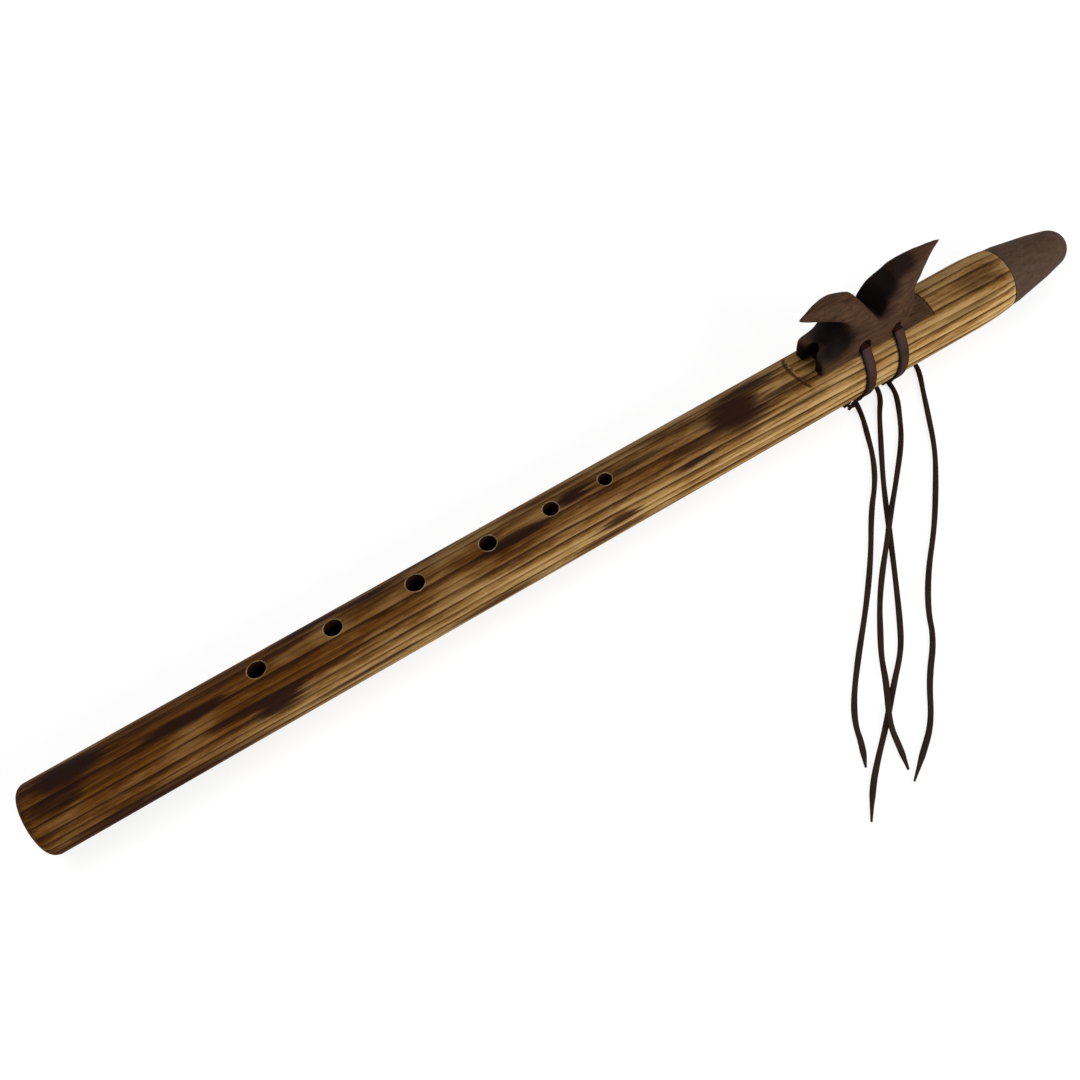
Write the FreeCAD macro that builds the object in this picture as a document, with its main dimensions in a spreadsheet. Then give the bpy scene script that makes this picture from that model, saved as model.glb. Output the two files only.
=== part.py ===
import FreeCAD, Part
import math
import os
import re

import Sketcher
from FreeCAD import Placement, Rotation, Vector

# Six-hole duct flute lying on a table, block up.
# The frame has +X towards the mouthpiece and +Z up through the block, with its
# origin on the table below the middle of the flute. Each sub-part is drawn in the
# flute's own axes, along the bore from the foot end, and its Placement carries it
# to the table. The block is drawn from its own front foot on the nest.

DOCUMENT = FreeCAD.newDocument("duct_flute")
SHEET = DOCUMENT.addObject("Spreadsheet::Sheet", "Sizes")

# Driving dimensions in millimetres and degrees
SIZES = {
    "sound_chamber_length": 431.5,
    "plug_length": 28.0,
    "air_chamber_length": 78.3,
    "bore_radius": 12.5,
    "plug_step": 0.5,
    "wall": 5.5,
    "foot_round": 4.8,
    "taper_length": 20.0,
    "taper_drop": 1.35,
    "head_bevel": 0.8,
    "hole1_place": 117.6,
    "hole2_place": 156.2,
    "hole3_place": 198.7,
    "hole4_place": 237.1,
    "hole5_place": 271.0,
    "hole6_place": 300.8,
    "hole1_bore": 8.7,
    "hole2_bore": 8.7,
    "hole3_bore": 9.0,
    "hole4_bore": 8.2,
    "hole5_bore": 7.5,
    "hole6_bore": 6.6,
    "hole_rim": 0.7,
    "hole_line_middle": 209.0,
    "hole_line_skew": 0.0484,
    "nest_floor": 2.22,
    "nest_ahead": 19.7,
    "nest_behind": 57.5,
    "nest_step_lean": 1.3,
    "sound_hole_length": 6.6,
    "sound_hole_undercut": 1.8,
    "flue_width": 8.6,
    "flue_depth": 0.9,
    "air_hole_length": 7.0,
    "ramp_length": 6.0,
    "ramp_drop": 0.5,
    "plug_clearance": 0.02,
    "plug_gap": 0.1,
    "mouthpiece_length": 44.0,
    "mouthpiece_radius": 16.3,
    "collar_length": 6.0,
    "collar_radius": 15.85,
    "shoulder_place": 26.0,
    "shoulder_radius": 12.4,
    "nose_place": 36.4,
    "nose_radius": 10.2,
    "tenon_length": 14.0,
    "tenon_clearance": 0.02,
    "blow_bore": 6.4,
    "block_margin": 0.86,
    "chimney_depth": 11.2,
    "chimney_height": 13.6,
    "lace_width": 5.6,
    "lace_thickness": 1.0,
    "lace_clearance": 0.25,
    "lace_slack": 0.3,
    "tie_hole_slack": 0.7,
    "tie_hole_floor": 1.8,
    "tie_hole_height": 6.4,
    "front_tie_place": 26.1,
    "rear_tie_place": 46.1,
    "front_tie_lean": 7.0,
    "rear_tie_lean": 8.0,
    "knot_length": 13.0,
    "knot_width": 6.2,
    "knot_height": 2.8,
    "knot_corner": 2.0,
    "knot_edge": 0.5,
    "knot_yaw": -15.0,
    "knot_side": -9.0,
    "front_knot_shift": 0.5,
    "rear_knot_shift": 5.2,
    "tail_diameter": 2.8,
    "crossing_gap": 0.4,
    "front_tail_shift": 0.0,
    "rear_tail_shift": -2.0,
}

# Sizes that follow from the driving ones
OUTER = "(bore_radius + wall)"
AIR_BORE = "(bore_radius + plug_step)"
FOOT_ROUND = "min(foot_round; 0.9 * wall)"
BODY_LENGTH = "(sound_chamber_length + plug_length + air_chamber_length)"
NEST = "(bore_radius + nest_floor)"
NEST_HALF_WIDTH = f"sqrt({OUTER} ^ 2 - {NEST} ^ 2)"
BLOCK_HALF_WIDTH = f"({NEST_HALF_WIDTH} - block_margin)"
BLOCK_FRONT = "(sound_chamber_length - chimney_depth)"
BLOCK_LENGTH = "(chimney_depth + nest_behind)"
LACE_INNER = f"({OUTER} + lace_clearance)"
LACE_OUTER = f"({LACE_INNER} + lace_thickness)"
BAR_UNDERSIDE = f"({NEST} + tie_hole_floor + lace_clearance)"
BAR_MIDDLE = f"({BAR_UNDERSIDE} + lace_thickness / 2)"
BAR_CORNER = f"({BLOCK_HALF_WIDTH} + lace_slack)"
FLUTE_START = f"(-({BODY_LENGTH} + mouthpiece_length) / 2)"

for row, (alias, number) in enumerate(SIZES.items(), start=1):
    SHEET.set(f"A{row}", alias)
    SHEET.set(f"B{row}", str(number))
    SHEET.setAlias(f"B{row}", alias)
DOCUMENT.recompute()


def bound(expression):
    """An expression in the sheet's names, as another object has to write it."""
    return re.sub(r"[a-z_][a-z_0-9]*", lambda word: "Sizes." + word[0] if word[0] in SIZES else word[0], expression)


def size(expression):
    """Value of an expression in the sheet's names."""
    return float(SHEET.evalExpression(bound(expression)))


def new_body(label, along="0", up="0"):
    """Body whose own axes start at a place along the flute's axis, or above that axis."""
    body = DOCUMENT.addObject("PartDesign::Body", label)
    body.Label = label
    body.setExpression("Placement.Base.x", bound(f"{FLUTE_START} + {along}"))
    body.setExpression("Placement.Base.z", bound(f"{LACE_OUTER} + {up}"))
    return body


def new_sketch(body, name, plane, offset="0", turn=None):
    """Sketch on an origin plane of the body, moved along X, or along Z on XY_Plane."""
    sketch = body.newObject("Sketcher::SketchObject", name)
    support = [item for item in body.Origin.OriginFeatures if item.Role == plane][0]
    sketch.AttachmentSupport = [(support, "")]
    sketch.MapMode = "FlatFace"
    if turn:
        sketch.AttachmentOffset = Placement(Vector(), Rotation(Vector(1, 0, 0), 1))
        sketch.setExpression("AttachmentOffset.Rotation.Angle", bound(turn))
    axis = "x" if plane == "XZ_Plane" else "z"
    sketch.setExpression("AttachmentOffset.Base." + axis, bound(offset))
    return sketch


def pin(sketch, geometry, point, across, up):
    """Hold a point of the sketch at two expressions."""
    axes = (("DistanceX", across, -2), ("DistanceY", up, -1))
    for kind, expression, axis in axes:
        if expression == "0":
            sketch.addConstraint(Sketcher.Constraint("PointOnObject", geometry, point, axis))
            continue
        number = Sketcher.Constraint(kind, -1, 1, geometry, point, size(expression))
        index = sketch.addConstraint(number)
        sketch.setExpression(f"Constraints[{index}]", bound(expression))


def arc_between(start, end, radius):
    """Arc of a circle from start to end, to the left of the chord when radius is negative."""
    chord = end - start
    half = chord.Length / 2
    reach = math.sqrt(max(radius * radius - half * half, 0.0))
    side = Vector(-chord.y, chord.x, 0).normalize() * math.copysign(reach, radius)
    centre = (start + end) * 0.5 + side
    circle = Part.Circle(centre, Vector(0, 0, 1), abs(radius))
    first, last = (start, end) if radius > 0 else (end, start)
    angles = [math.atan2(point.y - centre.y, point.x - centre.x) for point in (first, last)]
    return Part.ArcOfCircle(circle, angles[0], angles[1])


def outline(sketch, corners):
    """Closed outline through corners held by expressions.

    A corner is (across, up), or (across, up, radius) when the side that leads to it
    is an arc: positive turns left on the way, negative turns right.
    """
    points = [Vector(size(corner[0]), size(corner[1]), 0) for corner in corners]
    sides = []
    for index, corner in enumerate(corners):
        start, end = points[index - 1], points[index]
        if len(corner) == 2:
            sides.append((sketch.addGeometry(Part.LineSegment(start, end)), 1, 2))
            continue
        radius = size(corner[2])
        geometry = sketch.addGeometry(arc_between(start, end, radius))
        sides.append((geometry, 1, 2) if radius > 0 else (geometry, 2, 1))
        text = corner[2] if radius > 0 else f"-({corner[2]})"
        index = sketch.addConstraint(Sketcher.Constraint("Radius", geometry, abs(radius)))
        sketch.setExpression(f"Constraints[{index}]", bound(text))
    for index, (geometry, start, end) in enumerate(sides):
        following = sides[(index + 1) % len(sides)]
        sketch.addConstraint(Sketcher.Constraint("Coincident", geometry, end, following[0], following[1]))
        pin(sketch, geometry, end, *corners[index][:2])
    return sketch


def circle(sketch, across, up, radius):
    centre = Vector(size(across), size(up), 0)
    geometry = sketch.addGeometry(Part.Circle(centre, Vector(0, 0, 1), size(radius)))
    index = sketch.addConstraint(Sketcher.Constraint("Radius", geometry, size(radius)))
    sketch.setExpression(f"Constraints[{index}]", bound(radius))
    pin(sketch, geometry, 3, across, up)
    return sketch


def revolve(body, kind, sketch, axis):
    feature = body.newObject("PartDesign::" + kind, sketch.Name + kind)
    feature.Profile = sketch
    feature.ReferenceAxis = (sketch, [axis])
    feature.Angle = 360
    return feature


def extrude(body, kind, sketch, length, midplane=True, reverse=False):
    feature = body.newObject("PartDesign::" + kind, sketch.Name + kind)
    feature.Profile = sketch
    feature.SideType = "Symmetric" if midplane else "One side"
    feature.Reversed = reverse
    feature.setExpression("Length", bound(length))
    return feature


def loft(body, sections):
    feature = body.newObject("PartDesign::AdditiveLoft", sections[0].Name + "Loft")
    feature.Profile = sections[0]
    feature.Sections = sections[1:]
    feature.Ruled = True
    return feature


def make_flute_body():
    """Bored tube with the nest, the flue, both air openings and six finger holes."""
    body = new_body("flute_body")
    profile = new_sketch(body, "TubeProfile", "XZ_Plane")
    outline(profile, [
        ("0", "bore_radius"),
        ("sound_chamber_length", "bore_radius"),
        ("sound_chamber_length", AIR_BORE),
        (BODY_LENGTH, AIR_BORE),
        (BODY_LENGTH, f"{OUTER} - taper_drop - head_bevel"),
        (f"{BODY_LENGTH} - head_bevel", f"{OUTER} - taper_drop"),
        (f"{BODY_LENGTH} - taper_length", OUTER, "taper_length ^ 2 / (2 * taper_drop)"),
        (FOOT_ROUND, OUTER),
        ("0", f"{OUTER} - {FOOT_ROUND}", FOOT_ROUND),
    ])
    revolve(body, "Revolution", profile, "H_Axis")

    nest = new_sketch(body, "Nest", "XZ_Plane", "sound_chamber_length")
    outline(nest, [
        ("-nest_ahead", NEST),
        ("nest_behind", NEST),
        ("nest_behind", f"{OUTER} + wall"),
        (f"-nest_ahead - nest_step_lean * ({OUTER} + wall - {NEST}) / ({OUTER} - {NEST})", f"{OUTER} + wall"),
    ])
    extrude(body, "Pocket", nest, f"4 * {OUTER}")

    flue = new_sketch(body, "Flue", "XZ_Plane", "sound_chamber_length")
    outline(flue, [
        ("0", f"{NEST} - flue_depth"),
        ("plug_length", f"{NEST} - flue_depth"),
        ("plug_length", f"{NEST} + wall"),
        ("0", f"{NEST} + wall"),
    ])
    extrude(body, "Pocket", flue, "flue_width")

    sound_hole = new_sketch(body, "SoundHole", "XZ_Plane", "sound_chamber_length")
    outline(sound_hole, [
        ("-sound_hole_length - sound_hole_undercut", "bore_radius - wall"),
        ("0", "bore_radius - wall"),
        ("0", f"{NEST} + wall"),
        ("-sound_hole_length", f"{NEST} + wall"),
        ("-sound_hole_length", f"{NEST} - ramp_drop"),
    ])
    extrude(body, "Pocket", sound_hole, "flue_width")

    ramp = new_sketch(body, "Ramp", "XZ_Plane", "sound_chamber_length")
    outline(ramp, [
        ("-sound_hole_length", f"{NEST} - ramp_drop"),
        ("-sound_hole_length", f"{NEST} + ramp_drop"),
        ("-sound_hole_length - 2 * ramp_length", f"{NEST} + ramp_drop"),
    ])
    extrude(body, "Pocket", ramp, "flue_width")

    air_hole = new_sketch(body, "AirHole", "XZ_Plane", "sound_chamber_length + plug_length")
    outline(air_hole, [
        ("0", "bore_radius - wall"),
        ("air_hole_length", "bore_radius - wall"),
        ("air_hole_length", f"{NEST} + wall"),
        ("0", f"{NEST} + wall"),
    ])
    extrude(body, "Pocket", air_hole, "flue_width")

    for number in range(1, 7):
        make_finger_hole(body, f"hole{number}_place", f"hole{number}_bore")
    return body


def make_finger_hole(body, place_name, bore_name):
    """Radial hole with a bevelled rim, turned about the bore by the skew of the row."""
    turn = f"({place_name} - hole_line_middle) * hole_line_skew"
    cutter = new_sketch(body, "Finger" + place_name[:5].capitalize(), "XZ_Plane", place_name, turn)
    outline(cutter, [
        ("0", "bore_radius - wall"),
        (f"{bore_name} / 2", "bore_radius - wall"),
        (f"{bore_name} / 2", f"{OUTER} - hole_rim"),
        (f"{bore_name} / 2 + 3 * hole_rim", f"{OUTER} + 2 * hole_rim"),
        ("0", f"{OUTER} + 2 * hole_rim"),
    ])
    return revolve(body, "Groove", cutter, "V_Axis")


def make_plug():
    """Wall between the two chambers, glued against the step in the bore below the flue."""
    body = new_body("chamber_plug", "sound_chamber_length")
    profile = new_sketch(body, "PlugProfile", "XZ_Plane")
    radius = f"{AIR_BORE} - plug_clearance"
    outline(profile, [("plug_gap", "0"), ("plug_length", "0"), ("plug_length", radius), ("plug_gap", radius)])
    revolve(body, "Revolution", profile, "H_Axis")
    return body


def make_mouthpiece():
    """Bullet of dark wood with a tenon in the air chamber and a blow hole."""
    body = new_body("mouthpiece", BODY_LENGTH)
    profile = new_sketch(body, "MouthpieceProfile", "XZ_Plane")
    tenon = f"({AIR_BORE} - tenon_clearance)"
    nose_middle = "(mouthpiece_length - sqrt(nose_radius ^ 2 - blow_bore ^ 2 / 4))"
    nose_edge = f"sqrt(nose_radius ^ 2 - (nose_place - {nose_middle}) ^ 2)"
    outline(profile, [
        ("-tenon_length", "blow_bore / 2"),
        ("mouthpiece_length", "blow_bore / 2"),
        ("nose_place", nose_edge, "nose_radius"),
        ("shoulder_place", "shoulder_radius"),
        ("collar_length", "collar_radius"),
        ("0", "mouthpiece_radius"),
        ("0", tenon),
        ("-tenon_length", tenon),
    ])
    revolve(body, "Revolution", profile, "H_Axis")
    return body


# Breast over the chimney, from the front back: place behind the block's front foot,
# then the heights of its right edge, its left edge and its arched middle
BREAST_SECTIONS = [
    (-0.2, 8.3, 10.7, 11.8),
    (4.0, 8.7, 11.6, 14.2),
    (8.6, 9.5, 12.5, 17.0),
    (13.7, 11.3, 18.0, 23.5),
    (16.1, 20.0, 22.0, 28.0),
]

# Carved head, from the beak back: place behind the block's front foot, half width as
# a share of the block's, then the heights of the underside and of the crown
HEAD_SECTIONS = [
    (-7.4, 0.06, 34.8, 35.8),
    (1.0, 0.34, 31.2, 38.6),
    (8.0, 0.66, 29.6, 39.2),
    (13.3, 0.95, 28.0, 38.5),
    (19.7, 0.99, 20.0, 35.7),
    (30.0, 1.00, 16.0, 31.0),
]
HEAD_RISE = 0.93
HEAD_CUTS = 6
BREAST_CUTS = 5

# Raised tail, from the base up: height, place of its front edge, half width of that
# edge as a share of the block's, and place of its rear ridge
TAIL_SECTIONS = [
    (0.4, 38.0, 0.98, 64.5),
    (10.2, 36.0, 0.97, 62.9),
    (16.4, 34.6, 0.97, 62.9),
    (26.4, 39.7, 0.97, 66.9),
    (34.8, 47.7, 0.66, 71.4),
    (37.9, 57.8, 0.34, 74.1),
    (38.9, 70.3, 0.07, 75.4),
]
TAIL_SCOOP = 0.2
TAIL_SWELL = 0.09
TAIL_CUTS = 3


def knife_cuts(start, end, swell, cuts):
    """Corners of a carved curve in flat cuts, from after its start up to its end.

    The curve stands out from the straight line by swell, given as (across, up).
    """
    corners = []
    for step in range(1, cuts):
        share = step / cuts
        bulge = 4 * share * (1 - share)
        corners.append(tuple(
            f"{1 - share:.3f} * ({first}) + {share:.3f} * ({last}) + {bulge:.3f} * ({out})"
            for first, last, out in zip(start, end, swell)
        ))
    return corners + [end]


def make_bird_block():
    """Carved bird that roofs the flue: legs, chimney, head, notch and raised tail."""
    body = new_body("bird_block", BLOCK_FRONT, NEST)
    core = new_sketch(body, "Core", "XZ_Plane")
    outline(core, [
        ("16.1", "0"),
        ("48", "0"),
        ("48", "16.4"),
        ("34.4", "16.4"),
        ("30.7", "22"),
        ("16.1", "26"),
    ])
    extrude(body, "Pad", core, f"2 * {BLOCK_HALF_WIDTH}")

    breast = []
    for number, (along, right, left, middle) in enumerate(BREAST_SECTIONS):
        section = new_sketch(body, f"Breast{number}", "YZ_Plane", str(along))
        shoulders = (BLOCK_HALF_WIDTH, str(left)), (f"-{BLOCK_HALF_WIDTH}", str(right))
        arch = knife_cuts(*shoulders, ("0", f"{middle} - ({right} + {left}) / 2"), BREAST_CUTS)
        outline(section, [(f"-{BLOCK_HALF_WIDTH}", "0"), (BLOCK_HALF_WIDTH, "0"), shoulders[0]] + arch)
        breast.append(section)
    loft(body, breast)

    saddle = new_sketch(body, "Saddle", "YZ_Plane", "44")
    outline(saddle, [(f"-{NEST_HALF_WIDTH}", "0", OUTER), (NEST_HALF_WIDTH, "0")])
    extrude(body, "Pad", saddle, f"{BLOCK_LENGTH} - 44", midplane=False)

    head = []
    for number, (along, share, underside, crown) in enumerate(HEAD_SECTIONS):
        section = new_sketch(body, f"Head{number}", "YZ_Plane", str(along))
        half = f"({share} * {BLOCK_HALF_WIDTH})"
        temples = (half, f"{crown} - {HEAD_RISE} * {half}"), (f"-{half}", f"{crown} - {HEAD_RISE} * {half}")
        arch = knife_cuts(*temples, ("0", f"{HEAD_RISE} * {half}"), HEAD_CUTS)
        outline(section, [(f"-{half}", str(underside)), (half, str(underside)), temples[0]] + arch)
        head.append(section)
    loft(body, head)

    notch = new_sketch(body, "Notch", "XZ_Plane")
    outline(notch, [("34.4", "16.4"), ("62", "16.4"), ("62", "47.8"), ("13.9", "47.8")])
    extrude(body, "Pocket", notch, f"4 * {OUTER}")

    tail = []
    for number, (height, front, share, rear) in enumerate(TAIL_SECTIONS):
        section = new_sketch(body, f"Tail{number}", "XY_Plane", str(height))
        half = f"({share} * {BLOCK_HALF_WIDTH})"
        right, ridge, left = (str(front), f"-{half}"), (str(rear), "0"), (str(front), half)
        reach = f"{TAIL_SWELL} * ({rear} - {front})"
        outline(section, (
            knife_cuts(right, ridge, (f"{TAIL_SWELL} * {half}", f"-{reach}"), TAIL_CUTS)
            + knife_cuts(ridge, left, (f"{TAIL_SWELL} * {half}", reach), TAIL_CUTS)
            + knife_cuts(left, right, (f"{TAIL_SCOOP} * {half}", "0"), TAIL_CUTS)
        ))
        tail.append(section)
    loft(body, tail)

    chimney = new_sketch(body, "Chimney", "YZ_Plane", "chimney_depth")
    outline(chimney, [
        ("-flue_width / 2", "-1"),
        ("flue_width / 2", "-1"),
        ("flue_width / 2", "chimney_height - flue_width / 2"),
        ("-flue_width / 2", "chimney_height - flue_width / 2", "0.501 * flue_width"),
    ])
    extrude(body, "Pocket", chimney, "2 * chimney_depth", midplane=False)

    for name in ("front_tie_place", "rear_tie_place"):
        make_tie_hole(body, name)
    return body


def make_tie_hole(body, place_name):
    """Arched hole across the block, a little wider than the lace."""
    hole = new_sketch(body, place_name.split("_")[0].capitalize() + "TieHole", "XZ_Plane", place_name)
    half = "(lace_width / 2 + tie_hole_slack)"
    springing = f"(tie_hole_floor + tie_hole_height - {half})"
    outline(hole, [
        (f"-{half}", "tie_hole_floor"),
        (half, "tie_hole_floor"),
        (half, springing),
        (f"-{half}", springing, f"1.01 * {half}"),
    ])
    return extrude(body, "Pocket", hole, f"4 * {OUTER}")


def add_strap_loop(sketch, bar_height, corner, radius, beside=None):
    """Straight bar, two slanting runs and an arc under the tube, as one closed loop."""
    height, wide, tube = size(bar_height), size(corner), size(radius)
    touch = math.atan2(height, wide) - math.acos(tube / math.hypot(height, wide))
    seat = Vector(tube * math.cos(touch), tube * math.sin(touch), 0)
    right, left = Vector(wide, height, 0), Vector(-wide, height, 0)
    bar = sketch.addGeometry(Part.LineSegment(left, right))
    run = sketch.addGeometry(Part.LineSegment(right, seat))
    rise = sketch.addGeometry(Part.LineSegment(Vector(-seat.x, seat.y, 0), left))
    hoop = Part.ArcOfCircle(Part.Circle(Vector(), Vector(0, 0, 1), tube), math.pi - touch, 2 * math.pi + touch)
    arc = sketch.addGeometry(hoop)
    sketch.addConstraint(Sketcher.Constraint("Coincident", arc, 3, -1, 1))
    index = sketch.addConstraint(Sketcher.Constraint("Radius", arc, tube))
    sketch.setExpression(f"Constraints[{index}]", bound(radius))
    sketch.addConstraint(Sketcher.Constraint("Coincident", bar, 2, run, 1))
    sketch.addConstraint(Sketcher.Constraint("Coincident", rise, 2, bar, 1))
    sketch.addConstraint(Sketcher.Constraint("Tangent", run, 2, arc, 2))
    sketch.addConstraint(Sketcher.Constraint("Tangent", rise, 1, arc, 1))
    if beside:
        sketch.addConstraint(Sketcher.Constraint("Horizontal", bar))
        sketch.addConstraint(Sketcher.Constraint("Parallel", run, beside[0]))
        sketch.addConstraint(Sketcher.Constraint("Parallel", rise, beside[1]))
        index = sketch.addConstraint(Sketcher.Constraint("DistanceY", -1, 1, bar, 1, height))
        sketch.setExpression(f"Constraints[{index}]", bound(bar_height))
    else:
        pin(sketch, bar, 1, f"-{corner}", bar_height)
        pin(sketch, bar, 2, corner, bar_height)
    return run, rise


def make_tie(end):
    """Flat lace drawn through the block and slanting round under the tube."""
    body = new_body(f"{end}_tie", f"{BLOCK_FRONT} + {end}_tie_place")
    strap = new_sketch(body, end.capitalize() + "Strap", "YZ_Plane")
    inner = add_strap_loop(strap, BAR_UNDERSIDE, BAR_CORNER, LACE_INNER)
    outer_corner = f"({BAR_CORNER} + 0.7 * lace_thickness)"
    add_strap_loop(strap, f"({BAR_UNDERSIDE} + lace_thickness)", outer_corner, LACE_OUTER, inner)
    slope = f"tan({end}_tie_lean)"
    extrude(body, "Pad", strap, f"4 * lace_width + 4 * {OUTER} * {slope}")

    sides = new_sketch(body, end.capitalize() + "Sides", "XZ_Plane")
    reach = f"(2 * {OUTER})"
    for side in ("-", ""):
        low = f"(-({reach} + {BAR_MIDDLE}) * {slope} {side or '+'} lace_width / (2 * cos({end}_tie_lean)))"
        high = f"(({reach} - {BAR_MIDDLE}) * {slope} {side or '+'} lace_width / (2 * cos({end}_tie_lean)))"
        corners = [(low, f"-{reach}"), (f"{side}2 * {reach}", f"-{reach}"), (f"{side}2 * {reach}", reach), (high, reach)]
        outline(sides, corners if side == "" else corners[::-1])
    extrude(body, "Pocket", sides, f"4 * {OUTER}")
    return body


def knot_place(end):
    """Place along the flute of a knot's middle, under the bottom of its tie."""
    drop = f"({BAR_MIDDLE} + {LACE_OUTER})"
    return f"{BLOCK_FRONT} + {end}_tie_place - {drop} * tan({end}_tie_lean) + {end}_knot_shift"


def make_knot(end):
    """Knot pressed flat between the tie and the table, beside the bottom of the tube."""
    body = new_body(f"{end}_tie_knot", knot_place(end), f"-{LACE_OUTER}")
    lump = new_sketch(body, end.capitalize() + "Lump", "XY_Plane")
    lump.AttachmentOffset = Placement(Vector(), Rotation(Vector(0, 0, 1), 1))
    lump.setExpression("AttachmentOffset.Rotation.Angle", bound("knot_yaw"))
    lump.setExpression("AttachmentOffset.Base.y", bound("knot_side"))
    corners = [("-knot_length / 2", "-knot_width / 2"), ("knot_length / 2", "-knot_width / 2"),
               ("knot_length / 2", "knot_width / 2"), ("-knot_length / 2", "knot_width / 2")]
    outline(lump, corners)
    block = extrude(body, "Pad", lump, "knot_height", midplane=False)
    DOCUMENT.recompute()
    upright = edges_where(block.Shape, lambda edge: abs(edge.tangentAt(edge.FirstParameter).z) > 0.99)
    rounded = fillet(body, block, upright, "knot_corner")
    DOCUMENT.recompute()
    rims = edges_where(rounded.Shape, lambda edge: edge.BoundBox.ZMin > 0.9 * size("knot_height"))
    bevel = body.newObject("PartDesign::Chamfer", end.capitalize() + "KnotBevel")
    bevel.Base = (rounded, rims)
    bevel.setExpression("Size", bound("knot_edge"))
    seat = new_sketch(body, end.capitalize() + "Seat", "YZ_Plane")
    circle(seat, "0", LACE_OUTER, LACE_OUTER)
    extrude(body, "Pocket", seat, "4 * knot_length")
    return body


def edges_where(shape, test):
    return [f"Edge{index}" for index, edge in enumerate(shape.Edges, start=1) if test(edge)]


def fillet(body, feature, edges, radius):
    rounding = body.newObject("PartDesign::Fillet", feature.Name + "Fillet")
    rounding.Base = (feature, edges)
    rounding.setExpression("Radius", bound(radius))
    return rounding


# Free tails of the laces on the table: the points that follow each tail's way out of
# its knot, with the places along the flute measured from the block's front foot
ON_TABLE = size("tail_diameter / 2")
OVER = size("1.5 * tail_diameter + crossing_gap")
TAIL_ROUTES = {
    "front_tail_left": [
        (13.8, -30.4, ON_TABLE), (6.6, -44.6, ON_TABLE), (-2.8, -57.8, ON_TABLE),
        (-14.4, -69.4, ON_TABLE), (-30.9, -90.0, ON_TABLE), (-48.9, -109.6, ON_TABLE),
        (-67.4, -127.6, ON_TABLE), (-81.8, -142.6, ON_TABLE), (-89.8, -153.6, ON_TABLE),
        (-93.4, -163.4, ON_TABLE), (-98.4, -172.0, ON_TABLE),
    ],
    "front_tail_right": [
        (33.2, -16.2, ON_TABLE), (27.0, -23.2, ON_TABLE), (19.6, -33.6, ON_TABLE),
        (9.6, -47.2, ON_TABLE), (-1.8, -63.2, ON_TABLE), (-14.6, -83.2, ON_TABLE),
        (-28.8, -105.0, ON_TABLE), (-42.0, -124.6, ON_TABLE), (-51.0, -136.6, ON_TABLE),
        (-64.4, -148.0, ON_TABLE), (-79.4, -161.6, ON_TABLE), (-92.4, -172.2, ON_TABLE),
        (-102.8, -181.6, ON_TABLE), (-111.4, -192.2, ON_TABLE),
    ],
    "rear_tail_left": [
        (35.0, -29.2, ON_TABLE), (24.6, -44.0, ON_TABLE), (7.0, -61.6, ON_TABLE),
        (-9.6, -77.4, OVER), (-20.0, -88.0, OVER), (-31.8, -99.4, ON_TABLE),
        (-43.4, -112.0, ON_TABLE), (-53.0, -124.6, ON_TABLE), (-60.4, -134.6, ON_TABLE),
        (-67.8, -147.0, OVER), (-79.0, -163.0, OVER), (-81.2, -173.2, ON_TABLE),
        (-84.5, -182.4, ON_TABLE),
    ],
    "rear_tail_right": [
        (58.6, -16.6, ON_TABLE), (54.2, -24.0, ON_TABLE), (45.5, -38.3, ON_TABLE),
        (33.6, -58.0, ON_TABLE), (21.0, -73.6, ON_TABLE), (3.2, -93.9, ON_TABLE),
        (-14.8, -111.0, ON_TABLE), (-28.4, -127.2, ON_TABLE), (-35.8, -140.2, ON_TABLE),
        (-50.4, -154.4, ON_TABLE), (-62.8, -171.0, ON_TABLE), (-74.2, -179.6, ON_TABLE),
        (-85.8, -187.8, ON_TABLE),
    ],
}
EXIT_RUNS = {
    "front_tail_left": 7.2,
    "front_tail_right": 4.66,
    "rear_tail_left": 7.3,
    "rear_tail_right": 5.5,
}


def knot_exit(name):
    """Point on the knot's side or end where a tail leaves it, and the way it points."""
    end, side = name.split("_tail_")
    yaw = math.radians(size("knot_yaw"))
    along, across = Vector(math.cos(yaw), math.sin(yaw), 0), Vector(math.sin(yaw), -math.cos(yaw), 0)
    middle = Vector(size(f"{FLUTE_START} + {knot_place(end)}"), size("knot_side"), ON_TABLE)
    if side == "left":
        return middle + across * size("knot_width / 2") + along * size(f"{end}_tail_shift"), across
    return middle + along * size("knot_length / 2"), along


def rounded_route(name, points):
    """Straight runs joined by the largest tangent arcs that they allow."""
    edges, radii, start = [], [], points[0]
    for before, corner, after in zip(points, points[1:], points[2:]):
        arriving, leaving = corner - before, after - corner
        reach = 0.45 * min(arriving.Length, leaving.Length)
        half_turn = arriving.getAngle(leaving) / 2
        radius = reach / math.tan(half_turn)
        inward = (leaving.normalize() - arriving.normalize()).normalize()
        first, last = corner - arriving * reach, corner + leaving * reach
        crest = corner + inward * (radius / math.cos(half_turn) - radius)
        edges += [Part.LineSegment(start, first).toShape(), Part.Arc(first, crest, last).toShape()]
        radii.append(round(radius, 1))
        start = last
    edges.append(Part.LineSegment(start, points[-1]).toShape())
    wire = Part.Wire(edges)
    print(name, "length", round(wire.Length, 1), "arc radii", radii)
    return wire


def eight_sided_ring(centre, direction, across_flats):
    """Octagon that lies on one of its flats, square to a level direction, and its area."""
    aside, reach = Vector(-direction.y, direction.x, 0), across_flats / 2 / math.cos(math.pi / 8)
    turns = [math.pi / 8 + step * math.pi / 4 for step in range(9)]
    corners = [centre + aside * (reach * math.cos(turn)) + Vector(0, 0, reach * math.sin(turn)) for turn in turns]
    return Part.makePolygon(corners), 2 * (math.sqrt(2) - 1) * across_flats ** 2


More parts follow.
